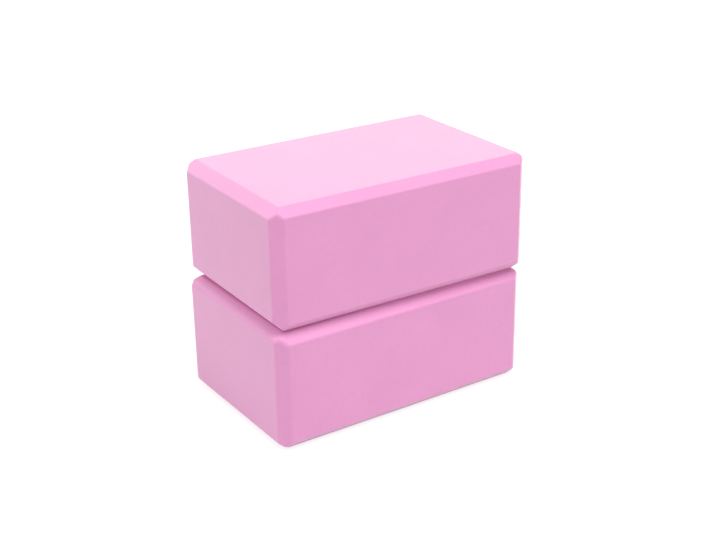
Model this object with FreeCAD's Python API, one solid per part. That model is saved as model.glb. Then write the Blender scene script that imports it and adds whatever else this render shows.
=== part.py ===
import FreeCAD, Part
import os

# A pair of foam yoga blocks, one lying flat on the other. Millimetres, +Z up.
# The origin is the centre of the lower block's bottom face, with +X along its long edges.

# Driving dimensions of one block
block_length = 230.0
block_width = 148.0
block_height = 97.0
edge_chamfer = 8.0  # leg of the flat 45 degree cut along every edge
border_radius = 2.5  # softness of the foam where a cut meets a face or another cut

# How the upper block lies on the lower one
stack_shift_along = 2.3  # along the lower block's length
stack_shift_across = 0.6  # along the lower block's width
stack_turn_deg = -1.0  # about the vertical, anticlockwise positive seen from above

x_axis = FreeCAD.Vector(1, 0, 0)
y_axis = FreeCAD.Vector(0, 1, 0)
z_axis = FreeCAD.Vector(0, 0, 1)
base_centre = FreeCAD.Vector(0, 0, 0)
parallel_tolerance = 1e-6


def edges_along(solid, axis):
    """The straight edges of a solid that run along an axis."""
    found = []
    for edge in solid.Edges:
        direction = edge.tangentAt(edge.FirstParameter)
        if direction.isParallel(axis, parallel_tolerance):
            found.append(edge)
    return found


def foam_block():
    """One block, standing on the origin.

    A square-cut blank is trimmed along its length, its width and its height. The three cuts
    at a corner run on until they meet in a point, and every border is then softened.
    """
    corner = FreeCAD.Vector(-block_length / 2, -block_width / 2, 0)
    blank = Part.makeBox(block_length, block_width, block_height, corner)
    trimmed = blank
    for axis in (x_axis, y_axis, z_axis):
        trimmed = trimmed.common(blank.makeChamfer(edge_chamfer, edges_along(blank, axis)))
    return trimmed.makeFillet(border_radius, trimmed.Edges).Solids[0]


def stacked_block():
    """The same block laid on the lower one's top face, a little out of line."""
    block = foam_block()
    block.rotate(base_centre, z_axis, stack_turn_deg)
    block.translate(FreeCAD.Vector(stack_shift_along, stack_shift_across, block_height))
    return block


pieces = {
    "lower_block": foam_block(),
    "upper_block": stacked_block(),
}

os.makedirs("parts", exist_ok=True)
for node, solid in pieces.items():
    solid.exportStep(f"parts/{node}.step")
    print(node, "volume", round(solid.Volume / 1000, 1), "cm3, valid", solid.isValid())
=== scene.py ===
# %% [markdown]
# A pair of foam yoga blocks. Two like bricks of pink closed-cell foam lie one on the other, and the
# upper one just lifts off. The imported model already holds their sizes, their places and that lift,
# so this lesson is about looks: the foam itself, the flat cuts along every edge, and a plain white
# studio. It starts by loading the model as a fixed frame and keeping its box, because the finished
# blocks have to fill that box and not outgrow it.

# %% Load the frame
import math

import bpy
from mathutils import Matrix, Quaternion, Vector


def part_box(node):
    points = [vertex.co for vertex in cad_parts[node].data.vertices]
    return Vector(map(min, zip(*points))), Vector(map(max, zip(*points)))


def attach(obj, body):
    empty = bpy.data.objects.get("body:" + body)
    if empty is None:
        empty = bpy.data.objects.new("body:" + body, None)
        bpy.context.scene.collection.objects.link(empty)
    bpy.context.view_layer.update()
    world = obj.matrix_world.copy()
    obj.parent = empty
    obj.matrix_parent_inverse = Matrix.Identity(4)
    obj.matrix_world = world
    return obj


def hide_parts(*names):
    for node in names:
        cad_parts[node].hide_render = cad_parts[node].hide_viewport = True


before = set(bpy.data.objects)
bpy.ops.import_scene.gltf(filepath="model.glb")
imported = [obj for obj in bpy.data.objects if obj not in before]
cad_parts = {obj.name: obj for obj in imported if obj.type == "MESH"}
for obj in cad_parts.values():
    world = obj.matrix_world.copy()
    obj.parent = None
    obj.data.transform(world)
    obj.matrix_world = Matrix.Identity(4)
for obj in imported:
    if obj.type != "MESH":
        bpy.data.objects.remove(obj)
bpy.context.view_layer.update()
mm = 0.001

# %% [markdown]
# Three helpers serve the whole file. Colours are written as sRGB hex values, as a paint chart gives
# them, but shaders count in linear light, so one function turns the first into the second. Node
# trees are easier to read when each node is one call, so another function adds a node and sets or
# links its inputs. The third turns a compass bearing and a height above the horizon into a
# direction, which is how a studio's lamps and camera are placed.

# %% Helpers


def linear(hex_colour):
    """Linear RGBA of a colour such as #e898cb, by the sRGB curve."""
    channels = [int(hex_colour[i : i + 2], 16) / 255 for i in (1, 3, 5)]
    return [c / 12.92 if c <= 0.04045 else ((c + 0.055) / 1.055) ** 2.4 for c in channels] + [1.0]


def add_node(tree, kind, inputs=None, **settings):
    """Adds a node. An input is named or numbered, and takes a value or another node's socket."""
    node = tree.nodes.new(kind)
    for name, value in settings.items():
        setattr(node, name, value)
    for key, value in (inputs or {}).items():
        if isinstance(value, bpy.types.NodeSocket):
            tree.links.new(value, node.inputs[key])
        else:
            node.inputs[key].default_value = value
    return node


def direction(azimuth, elevation):
    """Unit vector from the blocks towards a bearing in degrees: 0 is the front, 90 the right."""
    around, above = math.radians(azimuth), math.radians(elevation)
    level = math.cos(above)
    return Vector((level * math.sin(around), -level * math.cos(around), math.sin(above)))


print("half-way grey #808080 in linear light", round(linear("#808080")[0], 3))

# %% [markdown]
# EVA foam is the finish of both blocks. It is blown into a thick slab full of closed cells a few
# tenths of a millimetre across, and the slab is then skived and sawn, so every face is a field of
# cut cells. To the eye that is matte and even, a little velvety where it is seen at a low angle,
# with a grain that shows only close by. A flat pink would do from a distance, but it looks like
# painted card. Here two pinks drift into each other, cell by cell and over a few centimetres. The
# cut cells dent the surface, their hollows are rougher than their walls, and sheen gives the velvet.

# %% Foam material
deep_pink, pale_pink = "#e898cb", "#f8a8db"
cell_size = 0.9 * mm  # the real cells are about 0.3 mm; drawn coarser, because those wouldn't show
cell_depth = 0.12 * mm
dent_strength = 0.45
drift_size = 45 * mm
drift_detail = 3.0
hollow_roughness, wall_roughness = 0.50, 0.37
eva_ior = 1.49
velvet, velvet_roughness = 0.5, 0.5


def make_foam():
    """Pink closed-cell EVA foam, skived and sawn: matte, fine-grained and slightly velvety."""
    material = bpy.data.materials.new("eva_foam_pink")
    material.use_nodes = True
    tree = material.node_tree
    tree.nodes.clear()
    place = add_node(tree, "ShaderNodeTexCoord").outputs["Object"]
    cells = add_node(tree, "ShaderNodeTexVoronoi", {"Vector": place, "Scale": 1 / cell_size})
    drift = add_node(
        tree,
        "ShaderNodeTexNoise",
        {"Vector": place, "Scale": 1 / drift_size, "Detail": drift_detail},
    )
    shade = add_node(
        tree,
        "ShaderNodeMath",
        {0: cells.outputs["Distance"], 1: drift.outputs["Fac"]},
        operation="MULTIPLY",
    )
    colour = add_node(
        tree,
        "ShaderNodeMix",
        {"Factor": shade.outputs[0], "A": linear(deep_pink), "B": linear(pale_pink)},
        data_type="RGBA",
    )
    roughness = add_node(
        tree,
        "ShaderNodeMapRange",
        {"Value": cells.outputs["Distance"], "To Min": hollow_roughness, "To Max": wall_roughness},
    )
    dents = add_node(
        tree,
        "ShaderNodeBump",
        {"Height": cells.outputs["Distance"], "Strength": dent_strength, "Distance": cell_depth},
    )
    shader = add_node(
        tree,
        "ShaderNodeBsdfPrincipled",
        {
            "Base Color": colour.outputs["Result"],
            "Roughness": roughness.outputs["Result"],
            "IOR": eva_ior,
            "Sheen Weight": velvet,
            "Sheen Roughness": velvet_roughness,
            "Normal": dents.outputs["Normal"],
        },
    )
    add_node(tree, "ShaderNodeOutputMaterial", {"Surface": shader.outputs["BSDF"]})
    return material


foam = make_foam()
print("material", foam.name, "with", len(foam.node_tree.nodes), "nodes")

# %% [markdown]
# A block is a brick with a flat cut along each of its twelve edges. A cube with a Bevel modifier
# comes close, but it caps each corner with a little triangle, and on a sawn block the three cuts at
# a corner run on until they meet in a point, like the hips of a roof. So the tree below does what
# the saw does. A long square bar turned onto its edge has four slanting sides, and what a brick and
# that bar have in common is the brick with four edges cut off. Three bars, one for each direction,
# cut all twelve. A cut has two legs, the strip that it takes off each of the two faces it meets.
# Where they are unequal, the bar is squeezed until its sides have that slope. Where one cut of four
# is shallower, the bar is thicker towards that edge, and here only the right top edge needs it.
#
# Foam gives under the saw, so no border stays knife-sharp, and the hips, where two cuts meet, are
# rounder still. So is the steeper border of an uneven cut, which bends as far as a hip. A fillet
# takes off a strip as wide as its radius times the tangent of half the angle at the edge, and the
# tree writes that onto every edge as the weight that a Bevel modifier reads.

# %% Sawn block tree
sides = ("Length", "Width", "Height")
legs = {along: [f"{side} Leg Along {along}" for side in sides if side != along] for along in sides}
kept = "Length Kept At Right Top"
diagonal = math.sqrt(2)  # of a square with a side of 1
hip_angle = math.radians(52)  # two cuts bend more than this, an even cut and a face 45 degrees


def saw_bar(tree, given, along):
    """A long bar on its edge: its slanting sides cut the four edges that run along one side."""
    span, rise = [given[side] for side in sides if side != along]
    span_leg, rise_leg = [given[leg] for leg in legs[along]]
    slope = add_node(tree, "ShaderNodeMath", {0: rise_leg, 1: span_leg}, operation="DIVIDE").outputs[0]
    run = add_node(tree, "ShaderNodeMath", {0: rise, 1: slope}, operation="DIVIDE").outputs[0]
    uncut = add_node(tree, "ShaderNodeMath", {0: span, 1: run}, operation="ADD").outputs[0]
    both_legs = add_node(tree, "ShaderNodeMath", {0: span_leg, 1: 2.0}, operation="MULTIPLY").outputs[0]
    across = add_node(tree, "ShaderNodeMath", {0: uncut, 1: both_legs}, operation="SUBTRACT").outputs[0]
    face = add_node(tree, "ShaderNodeMath", {0: across, 1: diagonal}, operation="DIVIDE").outputs[0]
    long = add_node(tree, "ShaderNodeMath", {0: given[along], 1: 2.0}, operation="MULTIPLY").outputs[0]

    axis = sides.index(along)
    bar_size = [long if i == axis else face for i in range(3)]
    shift = (0.0, 0.0, 0.0)
    if along == "Width":
        # The bar grows to both sides, so it also moves, by a quarter of the kept length in X and Z.
        spare = add_node(tree, "ShaderNodeMath", {0: given[kept], 1: diagonal}, operation="DIVIDE")
        thick = add_node(tree, "ShaderNodeMath", {0: face, 1: spare.outputs[0]}, operation="ADD")
        aside = add_node(tree, "ShaderNodeMath", {0: given[kept], 1: 4.0}, operation="DIVIDE").outputs[0]
        bar_size[2] = thick.outputs[0]
        shift = add_node(tree, "ShaderNodeCombineXYZ", {"X": aside, "Z": aside}).outputs[0]
    size = add_node(tree, "ShaderNodeCombineXYZ", dict(enumerate(bar_size)))
    bar = add_node(tree, "GeometryNodeMeshCube", {"Size": size.outputs[0]})
    on_edge = [math.radians(45) if i == axis else 0.0 for i in range(3)]
    turned = add_node(
        tree,
        "GeometryNodeTransform",
        {"Geometry": bar.outputs["Mesh"], "Translation": shift, "Rotation": on_edge},
    )
    squeezed = 1 if along == "Height" else 2  # the axis of the rise
    squeeze = [slope if i == squeezed else 1.0 for i in range(3)]
    scale = add_node(tree, "ShaderNodeCombineXYZ", dict(enumerate(squeeze))).outputs[0]
    return add_node(tree, "GeometryNodeTransform", {"Geometry": turned.outputs[0], "Scale": scale})


def make_block_tree():
    """Geometry Nodes tree of a sawn block, with its sizes, cuts, place and turn as inputs."""
    tree = bpy.data.node_groups.new("sawn_foam_block", "GeometryNodeTree")
    tree.is_modifier = True
    leg_names = [leg for pair in legs.values() for leg in pair]
    for name in (*sides, *leg_names, kept, "Border Share", "Turn"):
        tree.interface.new_socket(name, in_out="INPUT", socket_type="NodeSocketFloat")
    tree.interface.new_socket("Place", in_out="INPUT", socket_type="NodeSocketVector")
    tree.interface.new_socket("Foam", in_out="INPUT", socket_type="NodeSocketMaterial")
    tree.interface.new_socket("Block", in_out="OUTPUT", socket_type="NodeSocketGeometry")
    given = add_node(tree, "NodeGroupInput").outputs

    size = add_node(tree, "ShaderNodeCombineXYZ", {i: given[side] for i, side in enumerate(sides)})
    brick = add_node(tree, "GeometryNodeMeshCube", {"Size": size.outputs[0]})
    sawn = add_node(tree, "GeometryNodeMeshBoolean", operation="INTERSECT", solver="EXACT")
    for solid in (brick, *(saw_bar(tree, given, along) for along in sides)):
        tree.links.new(solid.outputs[0], sawn.inputs["Mesh 2"])
    bend = add_node(tree, "GeometryNodeInputMeshEdgeAngle").outputs["Unsigned Angle"]
    half = add_node(tree, "ShaderNodeMath", {0: bend, 1: 0.5}, operation="MULTIPLY")
    strip = add_node(tree, "ShaderNodeMath", {0: half.outputs[0]}, operation="TANGENT")
    is_hip = add_node(tree, "FunctionNodeCompare", {0: bend, 1: hip_angle}, operation="GREATER_THAN")
    share = add_node(
        tree,
        "GeometryNodeSwitch",
        {"Switch": is_hip.outputs[0], "False": given["Border Share"], "True": 1.0},
        input_type="FLOAT",
    )
    weight = add_node(
        tree,
        "ShaderNodeMath",
        {0: strip.outputs[0], 1: share.outputs[0]},
        operation="MULTIPLY",
    )
    weighted = add_node(
        tree,
        "GeometryNodeStoreNamedAttribute",
        {"Geometry": sawn.outputs["Mesh"], "Name": "bevel_weight_edge", "Value": weight.outputs[0]},
        domain="EDGE",
    )
    turn = add_node(tree, "ShaderNodeCombineXYZ", {"Z": given["Turn"]})
    placed = add_node(
        tree,
        "GeometryNodeTransform",
        {"Geometry": weighted.outputs[0], "Translation": given["Place"], "Rotation": turn.outputs[0]},
    )
    real = add_node(tree, "GeometryNodeRealizeInstances", {"Geometry": placed.outputs[0]})
    dressed = add_node(
        tree,
        "GeometryNodeSetMaterial",
        {"Geometry": real.outputs[0], "Material": given["Foam"]},
    )
    add_node(tree, "NodeGroupOutput", {"Block": dressed.outputs[0]})
    return tree


block_tree = make_block_tree()
print("tree", block_tree.name, "with", len(block_tree.nodes), "nodes")

# %% [markdown]
# Each block takes its size and place from its CAD node. The lower block lies square to the frame, so
# its box is the size of both. The upper one lies a little askew, and its turn is read from the
# widest upright face of its node. The cuts differ by up to three millimetres from edge to edge, as
# they do on the real pair, and the legs along an edge are given in the order length, width, height.
# The Bevel modifier then rounds every border, and hardened normals keep the faces flat to the eye.

# %% Make the blocks
low_corner, high_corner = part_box("lower_block")
block_size = high_corner - low_corner
saw_cuts = {
    "lower_block": {
        "Length": (8.0 * mm, 8.0 * mm),
        "Width": (8.0 * mm, 5.5 * mm),
        "Height": (7.8 * mm, 7.8 * mm),
    },
    "upper_block": {
        "Length": (7.0 * mm, 7.0 * mm),
        "Width": (8.3 * mm, 8.3 * mm),
        "Height": (8.3 * mm, 8.3 * mm),
    },
}
kept_at_right_top = {"lower_block": 0.0, "upper_block": 2.6 * mm}
border_radius = {"lower_block": 2.8 * mm, "upper_block": 2.3 * mm}
hip_radius = {"lower_block": 4.0 * mm, "upper_block": 2.8 * mm}
border_segments = 6
upright_limit = 0.01  # an upright face's normal rises by less than this


def block_turn(node):
    """Angle about Z by which a CAD block is turned, from its widest upright face."""
    upright = [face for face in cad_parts[node].data.polygons if abs(face.normal.z) < upright_limit]
    normal = max(upright, key=lambda face: face.area).normal
    return (math.atan2(normal.y, normal.x) + math.pi / 4) % (math.pi / 2) - math.pi / 4


def make_block(node):
    """The visible foam block that stands for a CAD node."""
    low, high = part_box(node)
    values = dict(zip(sides, block_size), Turn=block_turn(node), Place=(low + high) / 2, Foam=foam)
    values["Border Share"] = border_radius[node] / hip_radius[node]
    values[kept] = kept_at_right_top[node]
    for along, cut in saw_cuts[node].items():
        values.update(zip(legs[along], cut))
    draft = bpy.data.objects.new(node + "_draft", bpy.data.meshes.new(node + "_draft"))
    bpy.context.scene.collection.objects.link(draft)
    saw = draft.modifiers.new("saw", "NODES")
    saw.node_group = block_tree
    for socket in block_tree.interface.items_tree:
        if socket.in_out == "INPUT":
            saw[socket.identifier] = values[socket.name]
    soften = draft.modifiers.new("soften", "BEVEL")
    soften.width = hip_radius[node]
    soften.segments = border_segments
    soften.limit_method = "WEIGHT"
    soften.use_clamp_overlap = False
    soften.harden_normals = True
    evaluated = draft.evaluated_get(bpy.context.evaluated_depsgraph_get())
    mesh = bpy.data.meshes.new_from_object(evaluated)
    bpy.data.objects.remove(draft)
    block = bpy.data.objects.new("foam_" + node, mesh)
    bpy.context.scene.collection.objects.link(block)
    return block


blocks = {node: make_block(node) for node in ("lower_block", "upper_block")}
for node, block in blocks.items():
    turn = round(math.degrees(block_turn(node)), 2)
    print(block.name, len(block.data.polygons), "faces, turned by", turn, "degrees")

# %% [markdown]
# A block moves as one piece, so each foam block rides on its own CAD body and stands for that body's
# node. It is foam all through, with nothing slack in it.

# %% Tie the blocks to the frame
for node, block in blocks.items():
    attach(block, node)
    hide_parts(node)
print("tied", [block.name for block in blocks.values()])

# %% [markdown]
# The stage is a white floor in white surroundings. A white floor that is lit like everything else
# comes out grey, and more light would bleach the foam. So the floor is plain white paint to the light
# that bounces off it, but the camera, mirrors and glass see it glow: fully white far away, and close
# to the blocks just enough less that their soft shadow stays.

# %% Floor and surroundings
floor_size = 12.0
near, far = 0.3, 1.4
near_glow = 0.8
surroundings_light = 0.33
floor_white, shadow_grey = "#f2f2f2", "#a0a0a0"


def seen_directly(tree):
    """Socket that is 1 for what the camera, a mirror or glass shows, and 0 for bounced light."""
    path = add_node(tree, "ShaderNodeLightPath").outputs
    mirrored = add_node(
        tree,
        "ShaderNodeMath",
        {0: path["Is Camera Ray"], 1: path["Is Glossy Ray"]},
        operation="MAXIMUM",
    )
    return add_node(
        tree,
        "ShaderNodeMath",
        {0: mirrored.outputs[0], 1: path["Is Transmission Ray"]},
        operation="MAXIMUM",
    ).outputs[0]


def make_floor():
    """White floor with its soft shadow."""
    material = bpy.data.materials.new("white_floor_paint")
    material.use_nodes = True
    tree = material.node_tree
    tree.nodes.clear()
    place = add_node(tree, "ShaderNodeTexCoord").outputs["Object"]
    away = add_node(tree, "ShaderNodeVectorMath", {0: place}, operation="LENGTH")
    glow = add_node(
        tree,
        "ShaderNodeMapRange",
        {"Value": away.outputs["Value"], "From Min": near, "From Max": far, "To Min": near_glow},
    )
    white = add_node(tree, "ShaderNodeEmission", {"Strength": glow.outputs[0]})
    shadowed = add_node(tree, "ShaderNodeBsdfDiffuse", {"Color": linear(shadow_grey)})
    shown = add_node(tree, "ShaderNodeAddShader", {0: white.outputs[0], 1: shadowed.outputs[0]})
    paint = add_node(tree, "ShaderNodeBsdfDiffuse", {"Color": linear(floor_white)})
    mixed = add_node(
        tree,
        "ShaderNodeMixShader",
        {0: seen_directly(tree), 1: paint.outputs[0], 2: shown.outputs[0]},
    )
    add_node(tree, "ShaderNodeOutputMaterial", {"Surface": mixed.outputs[0]})
    half = floor_size / 2
    mesh = bpy.data.meshes.new("studio_floor")
    corners = [(-half, -half, 0), (half, -half, 0), (half, half, 0), (-half, half, 0)]
    mesh.from_pydata(corners, [], [(0, 1, 2, 3)])
    mesh.materials.append(material)
    floor = bpy.data.objects.new("studio_floor", mesh)
    bpy.context.scene.collection.objects.link(floor)
    return floor


def make_surroundings():
    """Even white surroundings, dim as light and plain white to look at."""
    world = bpy.data.worlds.new("white_surroundings")
    world.use_nodes = True
    tree = world.node_tree
    tree.nodes.clear()
    level = add_node(
        tree,
        "ShaderNodeMapRange",
        {"Value": seen_directly(tree), "To Min": surroundings_light, "To Max": 1.0},
    )
    sky = add_node(
        tree,
        "ShaderNodeBackground",
        {"Color": linear("#ffffff"), "Strength": level.outputs[0]},
    )
    add_node(tree, "ShaderNodeOutputWorld", {"Surface": sky.outputs[0]})
    bpy.context.scene.world = world
    return world


floor = make_floor()
surroundings = make_surroundings()
print("stage", floor.name, "and", surroundings.name)

# %% [markdown]
# The light is a studio's: one large softbox high in front, which leaves the groove between the
# blocks in its own shadow, weaker ones to the right and left, so that the two sides differ in tone,
# and two low behind, which put the pale velvet on the faces that look up. The right one of these is
# a little warm, because plain white there turns the top lilac.

# %% Softboxes
lamp_distance = 1.75
lamp_aim = Vector((0, 0, 0.1))
plain_white, warm_white = "#ffffff", "#fff7c8"


def make_softbox(name, size, azimuth, elevation, power, colour=plain_white):
    """A square softbox facing the blocks: size in metres, bearing in degrees, power in watts."""
    lamp = bpy.data.lights.new(name, "AREA")
    lamp.shape = "SQUARE"
    lamp.size = size
    lamp.energy = power
    lamp.color = linear(colour)[:3]
    softbox = bpy.data.objects.new(name, lamp)
    bpy.context.scene.collection.objects.link(softbox)
    bearing = direction(azimuth, elevation)
    softbox.location = lamp_aim + bearing * lamp_distance
    softbox.rotation_mode = "QUATERNION"
    softbox.rotation_quaternion = (-bearing).to_track_quat("-Z", "Y")
    return softbox


softboxes = [
    make_softbox("key_softbox", size=1.0, azimuth=0, elevation=70, power=23.2),
    make_softbox("right_softbox", size=1.0, azimuth=50, elevation=55, power=2.4),
    make_softbox("left_softbox", size=1.0, azimuth=-90, elevation=25, power=3.2),
    make_softbox("back_right_softbox", size=1.4, azimuth=147, elevation=25, power=6.5, colour=warm_white),
    make_softbox("back_left_softbox", size=1.2, azimuth=-153, elevation=30, power=6.0),
]
print("softboxes", [(box.name, box.data.energy) for box in softboxes])

# %% [markdown]
# The camera looks at the near corner from a little above, through a lens somewhat longer than a
# normal one, so the edges converge only gently. It is turned by about a degree, as a camera that
# is held by hand is.

# %% Camera
view_azimuth = -33.332
view_elevation = 22.922
view_roll = math.radians(-0.937)
view_distance = 1.0666
view_aim = Vector((0.0021, -0.0011, 0.0976))
focal_pixels = 1314.457
image_width = 716

camera = bpy.data.objects.new("camera", bpy.data.cameras.new("camera"))
bpy.context.scene.collection.objects.link(camera)
camera.data.sensor_width = 36.0
camera.data.lens = camera.data.sensor_width * focal_pixels / image_width
bearing = direction(view_azimuth, view_elevation)
camera.location = view_aim + bearing * view_distance
camera.rotation_mode = "QUATERNION"
camera.rotation_quaternion = (-bearing).to_track_quat("-Z", "Y") @ Quaternion((0, 0, 1), view_roll)
bpy.context.scene.camera = camera
bpy.context.scene.view_settings.view_transform = "Standard"
print("lens", round(camera.data.lens, 1), "mm")
